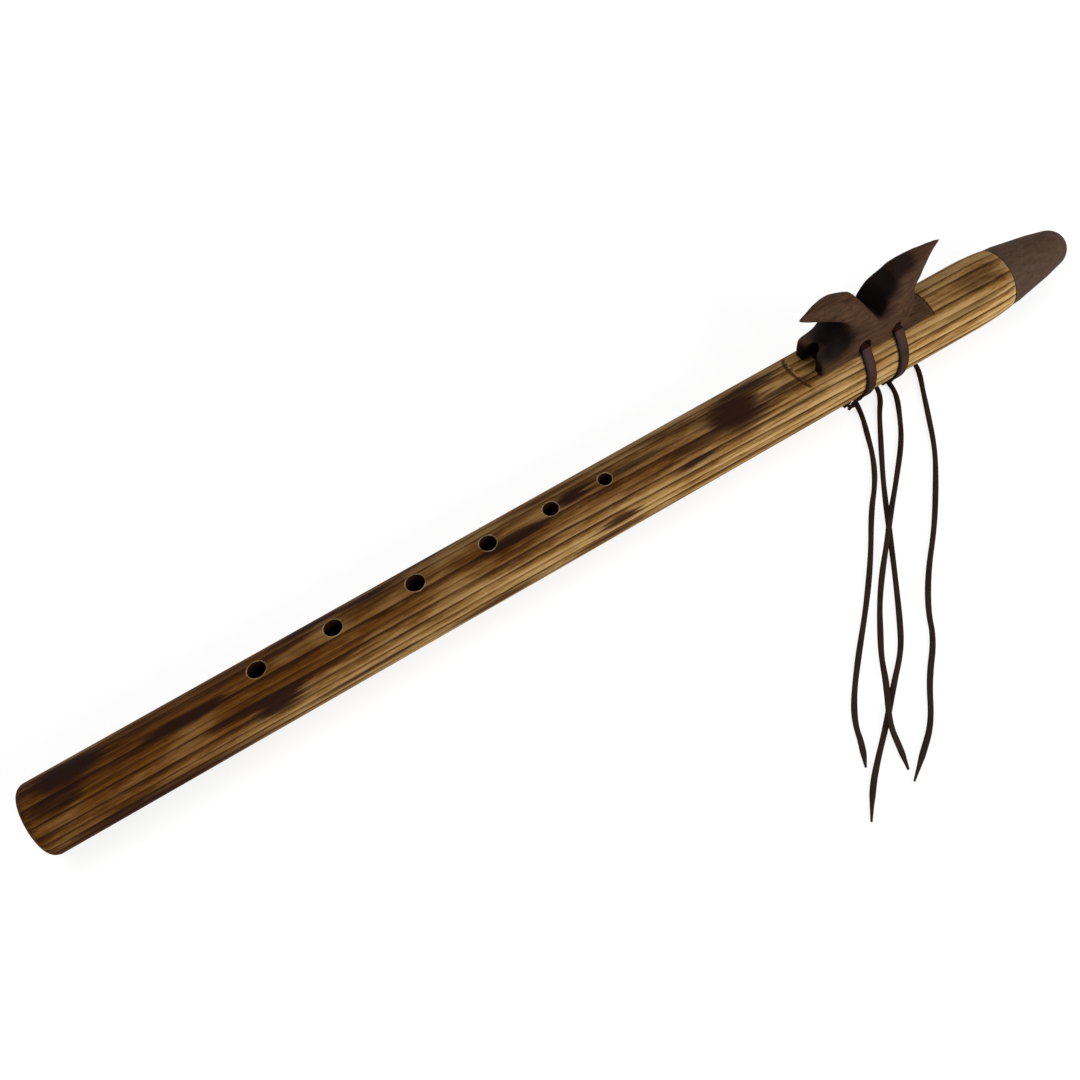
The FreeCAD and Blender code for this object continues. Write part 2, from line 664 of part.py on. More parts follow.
def make_tail(name):
    """Eight-sided tube along one free tail of a lace, from its knot to its cut end."""
    exit_point, direction = knot_exit(name)
    points = [exit_point, exit_point + direction * EXIT_RUNS[name]]
    block_front = Vector(size(f"{FLUTE_START} + {BLOCK_FRONT}"), 0, 0)
    points += [block_front + Vector(*point) for point in TAIL_ROUTES[name]]
    route = rounded_route(name, points)
    ring, area = eight_sided_ring(exit_point, direction, size("tail_diameter"))
    sweep = Part.BRepOffsetAPI.MakePipeShell(route)
    sweep.setBiNormalMode(Vector(0, 0, 1))
    sweep.add(ring)
    sweep.build()
    sweep.makeSolid()
    tube = sweep.shape()
    print(name, "volume", round(tube.Volume, 1), "of", round(area * route.Length, 1))
    tail = DOCUMENT.addObject("Part::Feature", name)
    tail.Label = name
    tail.Shape = tube
    return tail


def write_parts(parts):
    """Stop on a failed object or a bad shape, then write one STEP file per sub-part."""
    DOCUMENT.recompute()
    for item in DOCUMENT.Objects:
        if "Invalid" in item.State or "Error" in item.State:
            raise RuntimeError(f"{item.Label} failed: {item.State}")
    os.makedirs("parts", exist_ok=True)
    for part in parts:
        if part.Shape.isNull() or not part.Shape.isValid():
            raise RuntimeError(f"{part.Label} has a bad shape")
        box = part.Shape.BoundBox
        corners = [round(value, 1) for value in (box.XMin, box.XMax, box.YMin, box.YMax, box.ZMin, box.ZMax)]
        print(part.Label, "solids", len(part.Shape.Solids), "volume", round(part.Shape.Volume, 1), corners)
        part.Shape.exportStep(f"parts/{part.Label}.step")


PARTS = [
    make_flute_body(),
    make_plug(),
    make_mouthpiece(),
    make_bird_block(),
    make_tie("front"),
    make_tie("rear"),
    make_knot("front"),
    make_knot("rear"),
]
PARTS += [make_tail(name) for name in TAIL_ROUTES]
write_parts(PARTS)
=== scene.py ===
"""Six-hole duct flute with a carved bird block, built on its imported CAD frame."""

import math

import bpy
from bpy.props import FloatProperty, FloatVectorProperty, PointerProperty
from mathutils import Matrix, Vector


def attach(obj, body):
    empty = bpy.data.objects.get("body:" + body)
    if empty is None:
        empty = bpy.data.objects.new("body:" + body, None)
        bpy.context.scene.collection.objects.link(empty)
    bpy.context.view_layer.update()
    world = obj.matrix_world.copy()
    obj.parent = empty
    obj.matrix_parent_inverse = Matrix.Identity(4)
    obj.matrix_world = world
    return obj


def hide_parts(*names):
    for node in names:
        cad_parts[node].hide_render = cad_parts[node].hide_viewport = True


bl_info = {
    "name": "Duct flute",
    "version": (1, 0, 0),
    "blender": (4, 5, 0),
    "location": "3D View > Sidebar > Flute",
    "description": "A scorched pine flute with a carved block, leather ties and free lace tails",
    "category": "Add Mesh",
}

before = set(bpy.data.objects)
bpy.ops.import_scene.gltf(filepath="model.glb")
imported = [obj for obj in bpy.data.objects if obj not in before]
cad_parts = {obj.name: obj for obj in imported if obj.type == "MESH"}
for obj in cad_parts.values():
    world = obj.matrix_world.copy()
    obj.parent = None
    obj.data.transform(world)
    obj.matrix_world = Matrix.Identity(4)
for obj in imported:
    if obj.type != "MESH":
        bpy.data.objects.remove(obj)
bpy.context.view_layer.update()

# Places in the frame, in mm: the tube's foot end and its axis, the block's front foot and
# the nest that the block stands on
MM = 0.001
FOOT_X = -290.9
AXIS_Z = 19.25
BLOCK_X = 129.4
NEST_Z = 33.97


def shade(text):
    """Linear colour of an sRGB hex value."""
    parts = [int(text[at:at + 2], 16) / 255 for at in (0, 2, 4)]
    return tuple(part / 12.92 if part <= 0.04045 else ((part + 0.055) / 1.055) ** 2.4 for part in parts)


class FluteWood(bpy.types.PropertyGroup):
    """Colours of the pine tube and its scorching."""

    pale: FloatVectorProperty(name="Pale wood", description="Early wood, brushed clean",
                              subtype="COLOR", size=3, min=0, max=1, default=shade("C6A46E"))
    warm: FloatVectorProperty(name="Warm wood", description="Wood between the grain lines",
                              subtype="COLOR", size=3, min=0, max=1, default=shade("98723B"))
    toasted: FloatVectorProperty(name="Toasted wood", description="Wood that the flame has just browned",
                                 subtype="COLOR", size=3, min=0, max=1, default=shade("6A451C"))
    grain: FloatVectorProperty(name="Grain", description="Late wood lines, burnt darker than the rest",
                               subtype="COLOR", size=3, min=0, max=1, default=shade("261006"))
    smoke: FloatVectorProperty(name="Smoke", description="Tint that the torch's smoke lays over the wood",
                               subtype="COLOR", size=3, min=0, max=1, default=shade("7C6033"))
    char: FloatVectorProperty(name="Char", description="Middle of a torch mark",
                              subtype="COLOR", size=3, min=0, max=1, default=shade("25120A"))
    rim: FloatVectorProperty(name="Cut rim", description="Bare wood on the bevels of the holes",
                             subtype="COLOR", size=3, min=0, max=1, default=shade("9C8863"))


class FluteFittings(bpy.types.PropertyGroup):
    """Colours of the block, the mouthpiece and the laces."""

    walnut: FloatVectorProperty(name="Walnut", description="Oiled wood of the block",
                                subtype="COLOR", size=3, min=0, max=1, default=shade("4A3324"))
    walnut_dark: FloatVectorProperty(name="Dark walnut", description="Grain and hollows of the block",
                                     subtype="COLOR", size=3, min=0, max=1, default=shade("24160E"))
    mouth: FloatVectorProperty(name="Mouthpiece", description="Dark hardwood of the mouthpiece",
                               subtype="COLOR", size=3, min=0, max=1, default=shade("4A382C"))
    lace: FloatVectorProperty(name="Lace", description="Face of the leather lace",
                              subtype="COLOR", size=3, min=0, max=1, default=shade("341B14"))
    tail: FloatVectorProperty(name="Lace tail", description="Worn leather of the free tails",
                              subtype="COLOR", size=3, min=0, max=1, default=shade("2A1B0F"))


class FluteLaces(bpy.types.PropertyGroup):
    """Sizes of the laces."""

    width: FloatProperty(name="Tail width", description="Width of a free tail",
                         unit="LENGTH", min=0.001, max=0.006, default=0.0028)
    thickness: FloatProperty(name="Tail thickness", description="Thickness of the leather",
                             unit="LENGTH", min=0.0005, max=0.003, default=0.0013)
    voxel: FloatProperty(name="Carving grain", description="Mesh size on the carved block",
                         unit="LENGTH", min=0.0002, max=0.002, default=0.00045)


def take(*pieces):
    """Select these objects alone, the first one active."""
    if bpy.context.object and bpy.context.object.mode != "OBJECT":
        bpy.ops.object.mode_set(mode="OBJECT")
    bpy.ops.object.select_all(action="DESELECT")
    for piece in pieces:
        piece.select_set(True)
    bpy.context.view_layer.objects.active = pieces[0]


def modify(piece, kind, **settings):
    """Add a modifier, set it and apply it."""
    take(piece)
    modifier = piece.modifiers.new(kind.title(), kind)
    for name, value in settings.items():
        setattr(modifier, name, value)
    bpy.ops.object.modifier_apply(modifier=modifier.name)


def merged_copy(node, name):
    """Copy of a CAD node with its doubled corners merged, in place."""
    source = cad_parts[node]
    piece = bpy.data.objects.new(name, source.data.copy())
    piece.data.name = name
    piece.data.transform(source.matrix_world)
    bpy.context.scene.collection.objects.link(piece)
    take(piece)
    bpy.ops.object.mode_set(mode="EDIT")
    bpy.ops.mesh.select_all(action="SELECT")
    bpy.ops.mesh.customdata_custom_splitnormals_clear()
    bpy.ops.mesh.remove_doubles(threshold=2e-6)
    bpy.ops.object.mode_set(mode="OBJECT")
    return piece


def dress(piece, material, angle=None):
    """Give a piece its material and, with an angle, smooth its shading up to it."""
    piece.data.materials.clear()
    piece.data.materials.append(material)
    take(piece)
    if angle:
        bpy.ops.object.shade_smooth_by_angle(angle=math.radians(angle))
    else:
        bpy.ops.object.shade_smooth()


def settle(piece, body, slot, *nodes):
    """Let a piece ride on its body in place of CAD nodes; its slot is not used."""
    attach(piece, body)
    if nodes:
        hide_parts(*nodes)


def add_node(tree, kind, inputs=(), stops=(), **settings):
    """Add a node with its settings, its values or links, and the stops of its ramp."""
    node = tree.nodes.new("ShaderNode" + kind)
    for name, value in settings.items():
        setattr(node, name, value)
    for name, value in dict(inputs).items():
        if isinstance(value, bpy.types.NodeSocket):
            tree.links.new(value, node.inputs[name])
        else:
            node.inputs[name].default_value = value
    for number, (place, level) in enumerate(stops):
        ramp = node.color_ramp.elements
        stop = ramp[number] if number < 2 else ramp.new(place)
        stop.position = place
        stop.color = (level, level, level, 1) if isinstance(level, (int, float)) else (*level, 1)
    return node


def new_material(name):
    """Empty material with its shader, which has nothing linked yet."""
    material = bpy.data.materials.new(name)
    material.use_nodes = True
    tree = material.node_tree
    tree.nodes.clear()
    shader = add_node(tree, "BsdfPrincipled")
    add_node(tree, "OutputMaterial", {"Surface": shader.outputs["BSDF"]})
    return material, tree, shader


# Late wood lines on the front of the tube and on its back: angle from the top in
# degrees, negative on the right side seen from the foot, half width and darkness
FRONT_LINES = [(-98, 2.2, 0.7), (-83, 2.3, 1.0), (-71, 1.6, 0.6), (-56, 2.4, 1.0), (-39, 2.2, 1.0),
               (-29, 1.4, 0.5), (-12, 2.3, 1.0), (-1, 1.2, 0.4), (19, 2.1, 0.9), (34, 2.0, 0.8)]
BACK_LINES = [(59, 2.3, 0.9), (78, 1.6, 0.7), (96, 2.5, 1.0), (113, 2.0, 0.8), (131, 2.3, 1.0),
              (150, 1.7, 0.7), (171, 2.6, 1.0), (190, 2.0, 0.8), (207, 2.3, 1.0), (229, 2.0, 0.8)]
# Angles that each list covers; they meet at 50 degrees, and all the way round at 410
FRONT_SPAN = (-112, 50)
BACK_SPAN = (46, 250)
RING_SEAM = 50.0

# The lines lean round the tube by some degrees, first up to its middle and then up to its
# end, in mm from the foot
TUBE_MIDDLE = 270.0
TUBE_END = 540.0

# Torch marks: place from the foot in mm, angle, half length in mm, half width in
# degrees and depth
TORCH_MARKS = [
    (374, -14, 23, 40, 1.0), (386, 16, 20, 16, 0.85), (352, -30, 22, 12, 0.6), (400, -20, 22, 8, 0.7),
    (250, -17, 27, 11, 0.95), (284, -3, 14, 14, 1.0), (318, -6, 26, 8, 0.65), (120, -56, 17, 22, 0.95),
    (108, -44, 26, 9, 0.8), (26, 13, 22, 29, 1.0), (18, -22, 16, 22, 0.7), (80, -11, 27, 12, 1.0),
    (177, 26, 19, 11, 0.95), (148, 33, 26, 10, 0.9), (206, 40, 26, 9, 0.7), (230, -100, 34, 12, 0.7),
    (60, -102, 70, 15, 0.75), (165, -88, 40, 8, 0.6), (45, -88, 26, 12, 0.5), (300, -74, 14, 10, 0.85),
    (343, -51, 12, 8, 0.75), (290, -97, 26, 8, 0.75), (410, -52, 22, 7, 0.45), (520, -20, 19, 24, 0.5),
    (512, -56, 30, 7, 0.4), (228, 66, 40, 16, 0.8), (470, 20, 30, 12, 0.5),
    # Back and underside
    (70, 112, 48, 24, 0.85), (170, 150, 34, 28, 0.9), (310, 128, 52, 22, 0.85), (262, 196, 36, 22, 0.85),
    (420, 170, 34, 28, 0.85), (120, 218, 44, 20, 0.75), (372, 84, 30, 20, 0.75), (486, 118, 30, 24, 0.75),
    (470, 226, 26, 18, 0.5), (30, 190, 30, 24, 0.8),
]

# Smoke along the tube: share of its length from the foot, and strength
SMOKE_ALONG = [(0.0, 1.0), (0.1, 0.93), (0.2, 0.72), (0.28, 0.55), (0.4, 0.46), (0.5, 0.42), (0.62, 0.36),
               (0.72, 0.28), (0.85, 0.2), (1.0, 0.16)]

# Finger holes: place from the foot in mm, bore in mm. They turn round the tube by a little
# for each mm from the middle of their row
FINGER_HOLES = [(117.6, 8.7), (156.2, 8.7), (198.7, 9.0), (237.1, 8.2), (271.0, 7.5), (300.8, 6.6)]
ROW_MIDDLE = 209.0
ROW_TURN = 0.0484

# Front step of the nest at the top of the tube, where a painted shadow line runs, in mm from the foot, and
# how far it draws back for each squared degree away from the top
STEP_SHADOW_PLACE = 408.3
STEP_SHADOW_BOW = 0.003

# The bore gets painted shade: distances from the axis, in mm, where that begins and where it is full
BORE_SHADE_EDGE = (13.6, 13.2)


def line_stops(lines, low, high, slow):
    """Ramp stops that darken towards each line, over the whole ring or close to it, and end abruptly."""
    stops = []
    before = lines[0][0] - 12
    for angle, half, depth in lines:
        first = before + 1.6 if slow else angle - 1.1 * half
        last = angle + (1.5 if slow else 0.7 * half)
        stops += [((place - low) / (high - low), level)
                  for place, level in ((first, 0.0), (angle, depth), (last, 0.0))]
        before = angle
    return stops


def tube_places(tree):
    """Place from the foot in mm, angle from the top in degrees, distance from the axis, and all in mm."""
    coordinates = add_node(tree, "TexCoord")
    centred = add_node(tree, "Mapping", {
        "Vector": coordinates.outputs["Object"],
        "Location": (-FOOT_X, 0, -AXIS_Z),
        "Scale": (1000, 1000, 1000),
    })
    parts = add_node(tree, "SeparateXYZ", {"Vector": centred.outputs[0]})
    turn = add_node(tree, "Math", {0: parts.outputs["Y"], 1: parts.outputs["Z"]}, operation="ARCTAN2")
    angle = add_node(tree, "Math", {0: turn.outputs[0], 1: 180 / math.pi}, operation="MULTIPLY")
    flat = add_node(tree, "CombineXYZ", {"Y": parts.outputs["Y"], "Z": parts.outputs["Z"]})
    away = add_node(tree, "VectorMath", {0: flat.outputs[0]}, operation="LENGTH")
    return parts.outputs["X"], angle.outputs[0], away.outputs["Value"], centred.outputs[0]


def darkest_oval(tree, source, marks, unit, core):
    """Darkest of some soft ovals, in mm: unit is how many mm one of the source's units is, and
    core is the share of an oval's half sizes that has its full depth.
    """
    darkest = 0.0
    for centre, half, depth in marks:
        local = add_node(tree, "Mapping", {
            "Vector": source,
            "Location": tuple(-at / reach for at, reach in zip(centre, half)),
            "Scale": tuple(unit / reach for reach in half),
        })
        away = add_node(tree, "VectorMath", {0: local.outputs[0]}, operation="LENGTH")
        mark = add_node(tree, "MapRange", {
            "Value": away.outputs["Value"], "From Min": 1.15, "From Max": core, "To Max": depth,
        }, interpolation_type="SMOOTHSTEP")
        darkest = add_node(tree, "Math", {0: darkest, 1: mark.outputs[0]}, operation="MAXIMUM").outputs[0]
    return darkest


def late_wood(tree, along, angle, wander, streaks, hairs):
    """Growth rings that darken slowly and end abruptly, and the thin dark lines at their ends."""
    # The lines wander by a few degrees on their way along the tube, and lean round it, most
    # of all from the middle on, because the blank was sawn a little across the grain
    shift = add_node(tree, "MapRange", {"Value": wander.outputs["Fac"], "To Min": -4.0, "To Max": 4.0})
    lean = add_node(tree, "MapRange", {"Value": along, "From Max": TUBE_MIDDLE, "To Max": 4.0})
    late = add_node(tree, "MapRange", {
        "Value": along, "From Min": TUBE_MIDDLE, "From Max": TUBE_END, "To Max": 19.0,
    })
    bent = add_node(tree, "Math", {0: angle, 1: shift.outputs[0]}, operation="ADD")
    bent = add_node(tree, "Math", {0: bent.outputs[0], 1: lean.outputs[0]}, operation="ADD")
    bent = add_node(tree, "Math", {0: bent.outputs[0], 1: late.outputs[0]}, operation="ADD")
    around = add_node(tree, "Math", {0: bent.outputs[0], 1: RING_SEAM, 2: RING_SEAM + 360}, operation="WRAP")
    rings, lines = 0.0, 0.0
    for source, found, (low, high) in ((bent, FRONT_LINES, FRONT_SPAN), (around, BACK_LINES, BACK_SPAN)):
        spread = add_node(tree, "MapRange", {"Value": source.outputs[0], "From Min": low, "From Max": high})
        soft = add_node(tree, "ValToRGB", {"Fac": spread.outputs[0]}, line_stops(found, low, high, True))
        ramp = add_node(tree, "ValToRGB", {"Fac": spread.outputs[0]}, line_stops(found, low, high, False))
        rings = add_node(tree, "Math", {0: rings, 1: soft.outputs["Color"]}, operation="MAXIMUM").outputs[0]
        lines = add_node(tree, "Math", {0: lines, 1: ramp.outputs["Color"]}, operation="MAXIMUM").outputs[0]
    sawn = add_node(tree, "MapRange", {"Value": along, "From Min": 0.5, "From Max": 2.0})
    rings = add_node(tree, "Math", {0: rings, 1: sawn.outputs[0]}, operation="MULTIPLY").outputs[0]
    lines = add_node(tree, "Math", {0: lines, 1: sawn.outputs[0]}, operation="MULTIPLY").outputs[0]
    broken = add_node(tree, "MapRange", {
        "Value": streaks.outputs["Fac"], "From Min": 0.34, "From Max": 0.62, "To Min": 1.0, "To Max": 0.6,
    })
    lines = add_node(tree, "Math", {0: lines, 1: 0.7}, operation="POWER").outputs[0]
    lines = add_node(tree, "Math", {0: lines, 1: broken.outputs[0]}, operation="MULTIPLY").outputs[0]
    hair = add_node(tree, "MapRange", {
        "Value": hairs.outputs["Fac"], "From Min": 0.6, "From Max": 0.7, "To Max": 0.5,
    })
    lines = add_node(tree, "Math", {0: lines, 1: hair.outputs[0]}, operation="MAXIMUM").outputs[0]
    return rings, lines


def finger_holes(tree, places, angle, fibres):
    """Bare bevels of the finger holes, painted shade on their walls, and where the tube's top faces up."""
    bevel, hole = 0.0, 0.0
    for place, bore in FINGER_HOLES:
        skew = math.radians((ROW_MIDDLE - place) * ROW_TURN)
        reach = bore / 2
        local = add_node(tree, "VectorMath", {0: places, 1: (place, 0.0, 0.0)}, operation="SUBTRACT")
        off = add_node(tree, "VectorMath", {0: local.outputs[0], 1: (0.0, math.sin(skew), math.cos(skew))},
                       operation="CROSS_PRODUCT")
        off = add_node(tree, "VectorMath", {0: off.outputs[0]}, operation="LENGTH")
        ring = add_node(tree, "MapRange", {
            "Value": off.outputs["Value"], "From Min": reach + 0.75, "From Max": reach + 0.5,
        })
        # Painted shade on the hole's walls and its inner edge
        wall_shade = add_node(tree, "MapRange", {
            "Value": off.outputs["Value"], "From Min": reach + 0.25, "From Max": reach + 0.1,
        })
        bevel = add_node(tree, "Math", {0: bevel, 1: ring.outputs[0]}, operation="MAXIMUM").outputs[0]
        hole = add_node(tree, "Math", {0: hole, 1: wall_shade.outputs[0]}, operation="MAXIMUM").outputs[0]
    facing = add_node(tree, "MapRange", {"Value": angle, "From Min": -40.0, "From Max": -39.0})
    behind = add_node(tree, "MapRange", {"Value": angle, "From Min": 40.0, "From Max": 39.0})
    facing = add_node(tree, "Math", {0: facing.outputs[0], 1: behind.outputs[0]}, operation="MULTIPLY")
    worn = add_node(tree, "MapRange", {"Value": fibres.outputs["Fac"], "From Min": 0.35, "From Max": 0.6,
                                       "To Max": 0.8})
    bevel = add_node(tree, "Math", {0: bevel, 1: facing.outputs[0]}, operation="MULTIPLY").outputs[0]
    bevel = add_node(tree, "Math", {0: bevel, 1: worn.outputs[0]}, operation="MULTIPLY").outputs[0]
    hole = add_node(tree, "Math", {0: hole, 1: facing.outputs[0]}, operation="MULTIPLY").outputs[0]
    return bevel, hole, facing.outputs[0]


def scorched_pine(wood):
    """Pine, scorched with a torch and wire brushed: the late wood stands out as dark lines."""
    material, tree, shader = new_material("scorched_pine")
    along, angle, away, places = tube_places(tree)

    # Fibres run with the bore; they are drawn about 0.4 mm wide, coarser than real ones
    stretched = add_node(tree, "Mapping", {"Vector": places, "Scale": (0.03, 0.5, 0.5)})
    streaks = add_node(tree, "TexNoise", {
        "Vector": stretched.outputs[0], "Scale": 1.0, "Detail": 6.0, "Roughness": 0.6, "Distortion": 0.25,
    })
    fine = add_node(tree, "Mapping", {"Vector": places, "Scale": (0.14, 2.5, 2.5)})
    fibres = add_node(tree, "TexNoise", {
        "Vector": fine.outputs[0], "Scale": 1.0, "Detail": 5.0, "Roughness": 0.78,
    })
    long = add_node(tree, "Mapping", {"Vector": places, "Scale": (0.009, 0.9, 0.9)})
    hairs = add_node(tree, "TexNoise", {
        "Vector": long.outputs[0], "Scale": 1.0, "Detail": 3.0, "Roughness": 0.5,
    })
    broad = add_node(tree, "Mapping", {"Vector": places, "Scale": (0.022, 0.1, 0.1)})
    clouds = add_node(tree, "TexNoise", {
        "Vector": broad.outputs[0], "Scale": 1.0, "Detail": 3.0, "Roughness": 0.6,
    })
    wander = add_node(tree, "TexNoise", {"Vector": long.outputs[0], "Scale": 0.4, "Detail": 2.0})

    rings, lines = late_wood(tree, along, angle, wander, streaks, hairs)

    # Brushing leaves short pale and brown streaks side by side, and cloudy patches
    tone = add_node(tree, "MapRange", {"Value": rings, "To Min": 0.92, "To Max": 0.0})
    for source, share in ((streaks, 1.8), (fibres, 2.3), (clouds, 1.6)):
        part = add_node(tree, "Math", {0: source.outputs["Fac"], 1: share, 2: share * -0.5},
                        operation="MULTIPLY_ADD")
        tone = add_node(tree, "Math", {0: tone.outputs[0], 1: part.outputs[0]}, operation="ADD",
                        use_clamp=source == clouds)
    bare = add_node(tree, "ValToRGB", {"Fac": tone.outputs[0]},
                    [(0.0, tuple(wood.toasted)), (0.4, tuple(wood.warm)), (1.0, tuple(wood.pale))])
    end = add_node(tree, "MapRange", {"Value": along, "From Min": 531.0, "From Max": 539.0, "To Max": 0.6})
    colour = add_node(tree, "Mix", {0: end.outputs[0], 6: bare.outputs["Color"], 7: (*wood.pale, 1)},
                      data_type="RGBA")

    # Smoke darkens the foot half; the same tint also darkens the tube from its near flank over the top and
    # round the back
    length = add_node(tree, "Math", {0: along, 1: TUBE_END}, operation="DIVIDE")
    foot = add_node(tree, "ValToRGB", {"Fac": length.outputs[0]}, SMOKE_ALONG)
    upper = add_node(tree, "MapRange", {
        "Value": angle, "From Min": -84.0, "From Max": -30.0, "To Max": 0.42,
    }, interpolation_type="SMOOTHSTEP")
    smoke = add_node(tree, "Math", {0: foot.outputs["Color"], 1: upper.outputs[0]},
                     operation="ADD", use_clamp=True)
    drift = add_node(tree, "MapRange", {"Value": clouds.outputs["Fac"], "To Min": 1.5, "To Max": 0.5})
    smoke = add_node(tree, "Math", {0: smoke.outputs[0], 1: drift.outputs[0]},
                     operation="MULTIPLY", use_clamp=True)
    colour = add_node(tree, "Mix", {0: smoke.outputs[0], 6: colour.outputs[2], 7: (*wood.smoke, 1)},
                      data_type="RGBA", blend_type="MULTIPLY")
    colour = add_node(tree, "Mix", {0: lines, 6: colour.outputs[2], 7: (*wood.grain, 1)}, data_type="RGBA")

    # Torch marks: brown at their edges, black in the middle, drawn out along the fibres
    surface = add_node(tree, "CombineXYZ", {"X": along, "Y": angle})
    ragged = add_node(tree, "VectorMath", {
        0: streaks.outputs["Color"], 1: (34.0, 11.0, 0.0), 2: (-17.0, -5.5, 0.0),
    }, operation="MULTIPLY_ADD")
    torn = add_node(tree, "VectorMath", {0: surface.outputs[0], 1: ragged.outputs[0]}, operation="ADD")
    marks = [((place, turn, 0), (long_half, wide_half, 1), depth)
             for place, turn, long_half, wide_half, depth in TORCH_MARKS]
    burnt = darkest_oval(tree, torn.outputs[0], marks, 1, 0.35)
    colour = add_node(tree, "Mix", {0: burnt, 6: colour.outputs[2], 7: (*wood.toasted, 1)},
                      data_type="RGBA", blend_type="MULTIPLY")
    black = add_node(tree, "MapRange", {
        "Value": burnt, "From Min": 0.3, "From Max": 1.0, "To Max": 0.85,
    })
    colour = add_node(tree, "Mix", {0: black.outputs[0], 6: colour.outputs[2], 7: (*wood.char, 1)},
                      data_type="RGBA")

    bevel, hole, facing = finger_holes(tree, places, angle, fibres)

    # Painted shadow: a dark line in the grain colour along the step at the front of the nest, bowed towards
    # the foot at the top
    bow = add_node(tree, "Math", {0: angle, 1: angle}, operation="MULTIPLY")
    bow = add_node(tree, "Math", {0: bow.outputs[0], 1: STEP_SHADOW_BOW, 2: STEP_SHADOW_PLACE}, operation="MULTIPLY_ADD")
    step = add_node(tree, "Math", {0: along, 1: bow.outputs[0]}, operation="SUBTRACT")
    step = add_node(tree, "Math", {0: step.outputs[0]}, operation="ABSOLUTE")
    step = add_node(tree, "MapRange", {
        "Value": step.outputs[0], "From Min": 1.3, "From Max": 0.5, "To Max": 0.85,
    })
    step = add_node(tree, "Math", {0: step.outputs[0], 1: facing}, operation="MULTIPLY")
    colour = add_node(tree, "Mix", {0: step.outputs[0], 6: colour.outputs[2], 7: (*wood.grain, 1)},
                      data_type="RGBA")
    colour = add_node(tree, "Mix", {0: bevel, 6: colour.outputs[2], 7: (*wood.rim, 1)}, data_type="RGBA")
    # Painted shade: the walls of the finger holes and the bore turn char dark
    inside = add_node(tree, "MapRange", {"Value": away, "From Min": BORE_SHADE_EDGE[0], "From Max": BORE_SHADE_EDGE[1]})
    dark = add_node(tree, "Math", {0: hole, 1: inside.outputs[0]}, operation="MAXIMUM")
    colour = add_node(tree, "Mix", {0: dark.outputs[0], 6: colour.outputs[2], 7: (*wood.char, 1)},
                      data_type="RGBA")
    tree.links.new(colour.outputs[2], shader.inputs["Base Color"])

    # Brushing leaves the late wood standing about 0.1 mm proud
    height = add_node(tree, "Math", {0: lines, 1: -0.5, 2: fibres.outputs["Fac"]}, operation="MULTIPLY_ADD")
    relief = add_node(tree, "Bump", {"Height": height.outputs[0], "Strength": 0.6, "Distance": 0.0002})
    tree.links.new(relief.outputs[0], shader.inputs["Normal"])
    rough = add_node(tree, "MapRange", {"Value": streaks.outputs["Fac"], "To Min": 0.55, "To Max": 0.78})
    tree.links.new(rough.outputs[0], shader.inputs["Roughness"])
    shader.inputs["Specular IOR Level"].default_value = 0.05
    return material


def plain_wood(name, light, dark, scale, roughness, speckle=0.0):
    """Oiled hardwood with fine fibres along the flute and some pale specks."""
    material, tree, shader = new_material(name)
    coordinates = add_node(tree, "TexCoord")
    places = add_node(tree, "Mapping", {"Vector": coordinates.outputs["Object"], "Scale": (1000, 1000, 1000)})
    stretched = add_node(tree, "Mapping", {"Vector": places.outputs[0], "Scale": scale})
    streaks = add_node(tree, "TexNoise", {
        "Vector": stretched.outputs[0], "Scale": 1.0, "Detail": 6.0, "Roughness": 0.6, "Distortion": 0.6,
    })
    pores = add_node(tree, "TexNoise", {
        "Vector": places.outputs[0], "Scale": 1.6, "Detail": 3.0, "Roughness": 0.6,
    })
    tone = add_node(tree, "MapRange", {"Value": streaks.outputs["Fac"], "From Min": 0.25, "From Max": 0.6})
    colour = add_node(tree, "Mix", {0: tone.outputs[0], 6: (*dark, 1), 7: (*light, 1)}, data_type="RGBA")
    if speckle:
        spots = add_node(tree, "MapRange", {
            "Value": pores.outputs["Fac"], "From Min": 0.6, "From Max": 0.75, "To Max": speckle,
        })
        pale = tuple(min(1.0, part * 3.2 + 0.02) for part in light)
        colour = add_node(tree, "Mix", {0: spots.outputs[0], 6: colour.outputs[2], 7: (*pale, 1)},
                          data_type="RGBA")
    tree.links.new(colour.outputs[2], shader.inputs["Base Color"])
    height = add_node(tree, "Math", {0: pores.outputs["Fac"], 1: streaks.outputs["Fac"]}, operation="ADD")
    relief = add_node(tree, "Bump", {"Height": height.outputs[0], "Strength": 0.35, "Distance": 0.0003})
    tree.links.new(relief.outputs[0], shader.inputs["Normal"])
    rough = add_node(tree, "MapRange", {
        "Value": pores.outputs["Fac"], "To Min": roughness - 0.1, "To Max": roughness + 0.12,
    })
    tree.links.new(rough.outputs[0], shader.inputs["Roughness"])
    shader.inputs["Specular IOR Level"].default_value = 0.05
    return material


# Hollows of the block, near black: partly scorched and partly painted shade where the head and the tail
# shadow them. Place behind its front foot, across and above the nest, then half sizes, all in mm, and depth
SCORCH_AND_SHADE_HOLLOWS = [
    ((6.0, -12.0, 17.0), (16.0, 11.0, 12.0), 1.0), ((-2.5, -0.5, 3.5), (6.0, 15.0, 10.0), 1.0),
    ((7.5, -1.0, 20.0), (13.0, 12.0, 9.0), 1.0),
    ((6.0, 0.0, 5.0), (12.0, 7.0, 9.0), 1.0), ((10.0, 11.0, 19.0), (12.0, 10.0, 11.0), 0.95),
    ((37.5, 1.5, 20.0), (11.0, 13.0, 13.0), 1.0), ((43.0, 1.5, 28.0), (9.5, 12.0, 9.0), 0.95),
    ((51.0, 0.5, 35.0), (11.0, 8.0, 6.0), 0.8),
]


